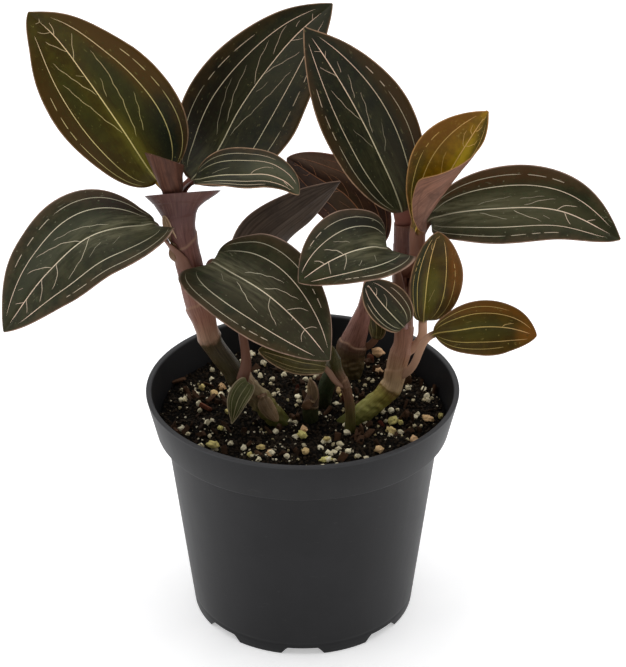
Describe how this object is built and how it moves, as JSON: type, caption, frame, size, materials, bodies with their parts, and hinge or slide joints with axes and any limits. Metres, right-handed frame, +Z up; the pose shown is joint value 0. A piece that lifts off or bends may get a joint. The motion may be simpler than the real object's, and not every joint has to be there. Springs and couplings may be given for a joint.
{
  "type": "potted jewel orchid",
  "caption": "Small potted foliage orchid: leafy upright shoots with broad pointed leaves standing in soil in a thin-walled round nursery pot.",
  "frame": {"origin": "on the pot's axis, on the surface that the pot stands on", "axes": "+Z up, -Y towards the front of the plant, +X towards its right side seen from the front"},
  "size_m": [0.2222, 0.12, 0.2421],
  "materials": {
    "pot_plastic": "thin moulded plastic, satin",
    "soil": "dark bark and peat with white grains, matte",
    "stem_flesh": "fleshy stem, satin",
    "green_stem": "fleshy green stem, satin",
    "dry_sheath": "dry papery sheath, matte",
    "sheath_pink": "rolled young leaf, satin",
    "leaf_dark": "velvety dark leaf with pale veins",
    "leaf_olive": "velvety olive leaf with pale veins",
    "leaf_brown": "velvety brown leaf with copper veins",
    "leaf_underside": "satin purple-brown leaf underside"
  },
  "bodies": {
    "root": {"pot": "pot_plastic", "soil": "soil", "stem_left": "stem_flesh", "stem_back": "stem_flesh", "stem_right": "stem_flesh", "shoot_front": "green_stem", "stub_green": "green_stem", "stub_papery": "dry_sheath", "leaf_left_top": "leaf_olive", "leaf_left_back": "leaf_dark", "leaf_left_cap": "leaf_dark", "leaf_left_bud": "sheath_pink", "leaf_left_droop": "leaf_dark", "leaf_centre_droop": "leaf_dark", "leaf_centre_under": "leaf_underside", "leaf_back_brown": "leaf_brown", "leaf_right_top": "leaf_dark", "leaf_right_new": "leaf_olive", "leaf_right_side": "leaf_dark", "leaf_centre_top": "leaf_dark", "leaf_low_upright": "leaf_olive", "leaf_low_right": "leaf_olive", "leaf_low_dark": "leaf_dark", "leaf_front_small": "leaf_olive", "leaf_low_scale": "leaf_olive"}
  },
  "joints": []
}
